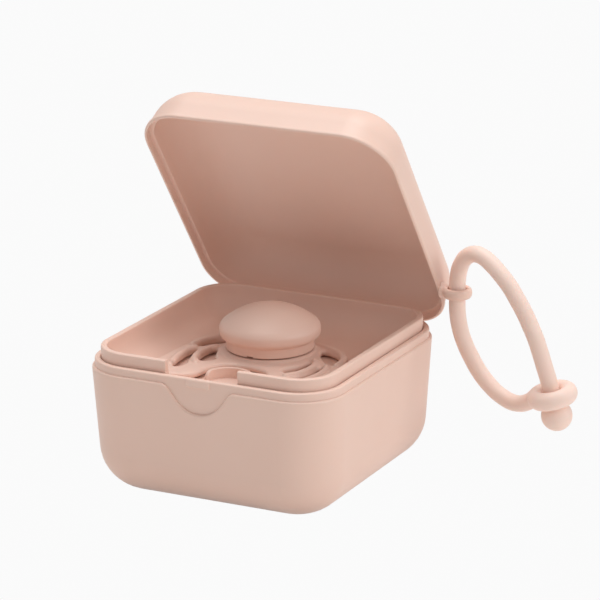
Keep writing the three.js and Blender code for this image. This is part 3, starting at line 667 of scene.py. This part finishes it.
eyelet_place = Vector((38.4, 31.119, 42.949)) * MM
eyelet_hole = 2.35
eyelet_section = [(2.45, -1.1), (2.8, -1.35), (3.3, -1.25), (3.65, -0.7), (3.75, 0.0), (3.65, 0.7),
                  (3.3, 1.25), (2.8, 1.35), (2.45, 1.1), (eyelet_hole, 0.0), (2.45, -1.1)]
eyelet_form = turned_form([(r * MM, h * MM) for r, h in eyelet_section], steps=56)
eyelet = finished(eyelet_form, "eyelet_ring", polypropylene, "lid", angle=180)
neck_root = 2.9 * MM
neck_end = 1.5 * MM
neck_length = 3.2 * MM
neck_middle = 4.0 * MM
neck_flattening = (1, 1.15, 0.85)
neck_form = bmesh.new()
bmesh.ops.create_cone(neck_form, cap_ends=True, segments=32, radius1=neck_root, radius2=neck_end,
                      depth=neck_length)
bmesh.ops.rotate(neck_form, matrix=Matrix.Rotation(math.pi / 2, 3, "Y"), verts=neck_form.verts)
bmesh.ops.scale(neck_form, vec=neck_flattening, verts=neck_form.verts)
bmesh.ops.translate(neck_form, vec=(-neck_middle, 0, 0), verts=neck_form.verts)
cut_away(eyelet, [tool_from(neck_form)], "UNION")
cut_away(eyelet, [tool_from(plug_form(eyelet_hole, low=-3, high=3))])
melt_joins(eyelet, voxel_mm=0.14, rounds=8)
eyelet.data.transform(Matrix.Translation(eyelet_place))
trim_low = (20, 8, 20)
for trim_high in ((34.35, 34.5, 32.3), (33.65, 34.5, 34.35)):
    beside_base = tool_from(block_form(trim_low, trim_high))
    beside_base.data.transform(lid_open)
    cut_away(eyelet, [beside_base])

# Pacifier shield: a thin bent plate in hard polypropylene with a notch for the nose. All its
# edges are fully round. It has three openings a side, and a raised round rib runs along each
# of them. The collar in the middle takes the knob.
pacifier_place = Matrix.Translation((0, pacifier_back * MM, 0))
shield_half_width = 22.9
shield_thickness = 1.8
shield_middle = 29.6
shield_bend = 0.2
half_outline = [
    ((0, -13.1), (-5.2, -13.1), (5.2, -13.1)),
    ((8, -19.5), (8, -15.2), (8, -23.6)),
    ((15, -26.5), (10.8, -26.5), (20, -26.5)),
    ((22.9, -16), (22.9, -22), (22.9, -10)),
    ((20.9, 0.8), (22.3, -3.5), (19.2, 5)),
    ((10.8, 9.8), (14.6, 8.6), (8.2, 10.5)),
    ((0, 13.4), (5.5, 13.4), (-5.5, 13.4)),
]
openings = [
    [(9.6, -11.6), (11.2, -13.6), (12.8, -13.4), (13.9, -11.2), (14.4, -8),
     (14.3, -5), (13.6, -3.4), (12.8, -4), (12, -6), (11, -8.8)],
    [(15.4, -20.3), (17, -19.6), (17.9, -16), (18.4, -11.5), (18.3, -7.6),
     (17.4, -6.2), (16.7, -7.2), (16.4, -10.5), (15.5, -14.3), (14.6, -17.6)],
    [(18.2, -3.4), (19.2, -1.3), (18.8, 1.5), (17, 3.9), (14.9, 5.3),
     (12.4, 6.2), (11.2, 5.6), (12.6, 2.6), (14.4, 0.2), (16.6, -2.4)],
]
rib_routes = [
    [(12.4, -16.2), (14.3, -13.7), (15.2, -10.4), (15.4, -7.2), (14.9, -4.2), (13.7, -2.8)],
    [(18.2, -17.6), (19, -14.4), (19.4, -11), (19.3, -7.8), (18.2, -5.4)],
    [(20.1, -3.6), (20.1, -0.8), (19.3, 2.4), (17, 5.4), (13.8, 7.4), (10.2, 8.6), (6.8, 9.7)],
]


def closed_spline(curve, knots, handles=None):
    """Adds a closed smooth outline in millimetres, with handles given or found by themselves."""
    spline = curve.splines.new("BEZIER")
    spline.bezier_points.add(len(knots) - 1)
    for index, (knot, place) in enumerate(zip(spline.bezier_points, knots)):
        knot.co = Vector((*place, 0)) * MM
        if handles:
            knot.handle_left, knot.handle_right = [Vector((*handle, 0)) * MM for handle in handles[index]]
        else:
            knot.handle_left_type = knot.handle_right_type = "AUTO"
    spline.use_cyclic_u = True
    spline.resolution_u = 12


def mesh_of(curve):
    """A curve's own surface as a mesh."""
    holder = bpy.data.objects.new("outline", curve)
    scene.collection.objects.link(holder)
    bpy.context.view_layer.update()
    graph = bpy.context.evaluated_depsgraph_get()
    mesh = bpy.data.meshes.new_from_object(holder.evaluated_get(graph), depsgraph=graph)
    bpy.data.objects.remove(holder)
    return mesh


outline = half_outline + [
    tuple((-x, y) for x, y in (place, far, near)) for place, near, far in reversed(half_outline[1:-1])
]
shield_curve = bpy.data.curves.new("shield_outline", "CURVE")
shield_curve.dimensions = "2D"
shield_curve.fill_mode = "BOTH"
closed_spline(shield_curve, [knot[0] for knot in outline], [knot[1:] for knot in outline])
for places in openings:
    closed_spline(shield_curve, places)
    closed_spline(shield_curve, [(-x, y) for x, y in reversed(places)])
shield_curve.offset = -shield_thickness / 2 * MM
shield_curve.bevel_depth = shield_thickness / 2 * MM
shield_curve.bevel_resolution = 4
shield_form = bmesh.new()
shield_form.from_mesh(mesh_of(shield_curve))
bmesh.ops.remove_doubles(shield_form, verts=shield_form.verts, dist=1e-6)
bmesh.ops.recalc_face_normals(shield_form, faces=shield_form.faces)
bmesh.ops.translate(shield_form, vec=(0, 0, shield_middle * MM), verts=shield_form.verts)
rib_radius = 0.95
rib_height = 30.2
for side in (1, -1):
    for rib_route in rib_routes:
        bends = [Vector((side * x, y, rib_height)) * MM for x, y in rib_route]
        for start, end in zip(bends, bends[1:]):
            bar = bmesh.ops.create_cone(shield_form, cap_ends=True, segments=20, radius1=rib_radius * MM,
                                        radius2=rib_radius * MM, depth=(end - start).length)["verts"]
            lie = Vector((0, 0, 1)).rotation_difference(end - start).to_matrix().to_4x4()
            bmesh.ops.transform(shield_form, matrix=Matrix.Translation((start + end) / 2) @ lie, verts=bar)
        for bend in bends:
            bmesh.ops.create_uvsphere(shield_form, u_segments=20, v_segments=12,
                                      radius=rib_radius * MM, matrix=Matrix.Translation(bend))
collar_profile = [(4.5, 28.7), (12.2, 28.7), (12.6, 29.0), (12.8, 29.8), (12.75, 30.3), (12.3, 30.65),
                  (11.75, 30.8), (11.5, 31.05), (11.35, 31.3), (11.1, 31.4), (4.5, 31.4), (4.5, 28.7)]
collar_form = turned_form([(r * MM, h * MM) for r, h in collar_profile])
collar_mesh = bpy.data.meshes.new("collar")
collar_form.to_mesh(collar_mesh)
collar_form.free()
shield_form.from_mesh(collar_mesh)
shield = finished(shield_form, "shield_plate", polypropylene, "pacifier",
                  "pacifier_shield", angle=180)
melt_joins(shield, voxel_mm=0.2, rounds=5)
stem_hole = 6.3
cut_away(shield, [tool_from(plug_form(stem_hole, low=27, high=34))])
for vert in shield.data.vertices:
    vert.co.z -= shield_bend * MM * (vert.co.x / (shield_half_width * MM)) ** 2
shield.data.transform(pacifier_place)

# Pacifier knob: a mushroom button of the same plastic, pressed into the collar. A fine dark
# seam runs round it there, with a small slot where the button can be prised off.
knob_radius = 12.65
knob_top = 42.6
knob_fall = 5.0
knob_power = 2.2
crown_steps = 20
knob_profile = [(0, 26.8), (3.2, 26.8), (3.4, 27), (3.4, 31.7), (10.9, 31.7), (11.07, 31.85),
                (11.07, 33.9), (11.15, 34.1), (11.5, 34.3), (12.05, 34.6), (12.45, 35), (12.62, 35.5),
                (12.68, 36.2), (12.67, 36.8), (12.55, 37.3), (12.3, 37.7)]
knob_profile += [(knob_radius * share, knob_top - knob_fall * share ** knob_power)
                 for share in [step / crown_steps for step in range(crown_steps - 1, 0, -1)]]
knob_profile.append((0, knob_top))
knob_form = turned_form([(r * MM, h * MM) for r, h in knob_profile], steps=128)
knob = finished(knob_form, "knob_button", polypropylene, "pacifier",
                "pacifier_knob", angle=50)
slot_half = 0.85
slot_front = -11.5
slot_back = -10.2
slot_low = 31.5
slot_high = 32.1
slot = block_form((-slot_half, slot_front, slot_low), (slot_half, slot_back, slot_high))
cut_away(knob, [tool_from(slot)])
knob.data.polygons.foreach_set("use_smooth", [True] * len(knob.data.polygons))
knob.data.set_sharp_from_angle(angle=math.radians(40))
knob.data.transform(pacifier_place)

# Pacifier nipple: soft silicone, hollow, drawn over the knob's stem under the shield. It
# hangs in the base through the tray's round opening, and light goes a little way into it.
nipple_rubber = moulded_material("milky_silicone_rubber", "#ecc9b4", "#f1d2bf", roughness=0.38, grain_mm=0.8,
                                 grain_height_mm=0.004, ior=1.41, subsurface=0.2)
nipple_profile = [
    (3.9, 28.5), (7.0, 28.5), (7.2, 28.3), (7.2, 28.0), (7.0, 27.7), (5.8, 27.5), (5.4, 26.9),
    (5.3, 25.0), (5.4, 22.5), (6.0, 20.2), (7.0, 18.0), (7.8, 15.8), (8.2, 13.2), (8.0, 10.4),
    (7.1, 7.8), (5.5, 5.9), (3.2, 4.9), (0, 4.7), (0, 6.2), (2.8, 6.4), (4.7, 7.3), (5.9, 8.8),
    (6.6, 11.0), (6.7, 13.2), (6.3, 15.4), (5.5, 17.4), (4.5, 19.8), (3.9, 22.5), (3.8, 25.0),
    (3.9, 28.5),
]
nipple_form = turned_form([(r * MM, h * MM) for r, h in nipple_profile], steps=64)
nipple = finished(nipple_form, "nipple_bulb", nipple_rubber, "pacifier",
                  "pacifier_nipple", angle=60)
nipple.data.transform(pacifier_place)

# Floor: a sweep of white paper. To the camera and in reflections it is plain white, as in
# the photograph, and to all other light it is matt paper that lights the box from below.
floor_half = 3.0
floor_white = 0.96
floor_form = bmesh.new()
bmesh.ops.create_grid(floor_form, x_segments=1, y_segments=1, size=floor_half)
floor_mesh = bpy.data.meshes.new("floor")
floor_form.to_mesh(floor_mesh)
floor_form.free()
floor = bpy.data.objects.new("floor", floor_mesh)
scene.collection.objects.link(floor)
floor_material = bpy.data.materials.new("white_paper_sweep")
floor_material.use_nodes = True
tree = floor_material.node_tree
paper = tree.nodes["Principled BSDF"]
paper.inputs["Base Color"].default_value = linear("#f4f1ee")
paper.inputs["Roughness"].default_value = 0.9
# The fibres of paper are about 0.05 mm thick, so they are drawn 2 mm apart, to show.
fibre_mm = 2
fibre_place = add_node(tree, "ShaderNodeTexCoord")
fibre = add_node(tree, "ShaderNodeTexNoise", {"Vector": fibre_place.outputs["Object"]},
                 Scale=1 / (fibre_mm * MM), Detail=3.0)
fibre_relief = add_node(tree, "ShaderNodeBump", {"Height": fibre.outputs["Fac"]},
                        Strength=0.4, Distance=0.05 * MM)
tree.links.new(fibre_relief.outputs["Normal"], paper.inputs["Normal"])
white = add_node(tree, "ShaderNodeEmission", Color=(1, 1, 1, 1), Strength=floor_white)
path = add_node(tree, "ShaderNodeLightPath")
seen = add_node(tree, "ShaderNodeMath", {0: path.outputs["Is Camera Ray"], 1: path.outputs["Is Glossy Ray"]},
                operation="MAXIMUM")
blend = add_node(tree, "ShaderNodeMixShader", {"Fac": seen.outputs[0], 1: paper.outputs[0],
                                               2: white.outputs[0]})
tree.links.new(blend.outputs[0], tree.nodes["Material Output"].inputs["Surface"])
floor_mesh.materials.append(floor_material)


# Light: two large soft lamps, above and on the right, and an even white room.
def soft_light(name, place, aim, size, power, colour):
    """A large square lamp that points at the box."""
    lamp = bpy.data.lights.new(name, "AREA")
    lamp.shape = "SQUARE"
    lamp.size = size
    lamp.energy = power
    lamp.color = linear(colour)[:3]
    holder = bpy.data.objects.new(name, lamp)
    scene.collection.objects.link(holder)
    holder.location = Vector(place)
    holder.rotation_euler = (Vector(aim) - Vector(place)).to_track_quat("-Z", "Y").to_euler()


middle = (0.01, 0.0, 0.035)
soft_light("top", (-0.1, 0.15, 0.95), middle, size=0.6, power=6.0, colour="#ffffff")
soft_light("right", (0.95, 0.05, 0.45), middle, size=0.6, power=3.0, colour="#ffffff")
world = bpy.data.worlds.new("studio")
scene.world = world
world.use_nodes = True
tree = world.node_tree
air = tree.nodes["Background"]
air.inputs["Color"].default_value = (1, 1, 1, 1)
air.inputs["Strength"].default_value = 0.42
bright = add_node(tree, "ShaderNodeBackground", Color=(1, 1, 1, 1), Strength=1.0)
path = add_node(tree, "ShaderNodeLightPath")
blend = add_node(tree, "ShaderNodeMixShader", {"Fac": path.outputs["Is Camera Ray"], 1: air.outputs[0],
                                               2: bright.outputs[0]})
tree.links.new(blend.outputs[0], tree.nodes["World Output"].inputs["Surface"])
scene.view_settings.view_transform = "Standard"
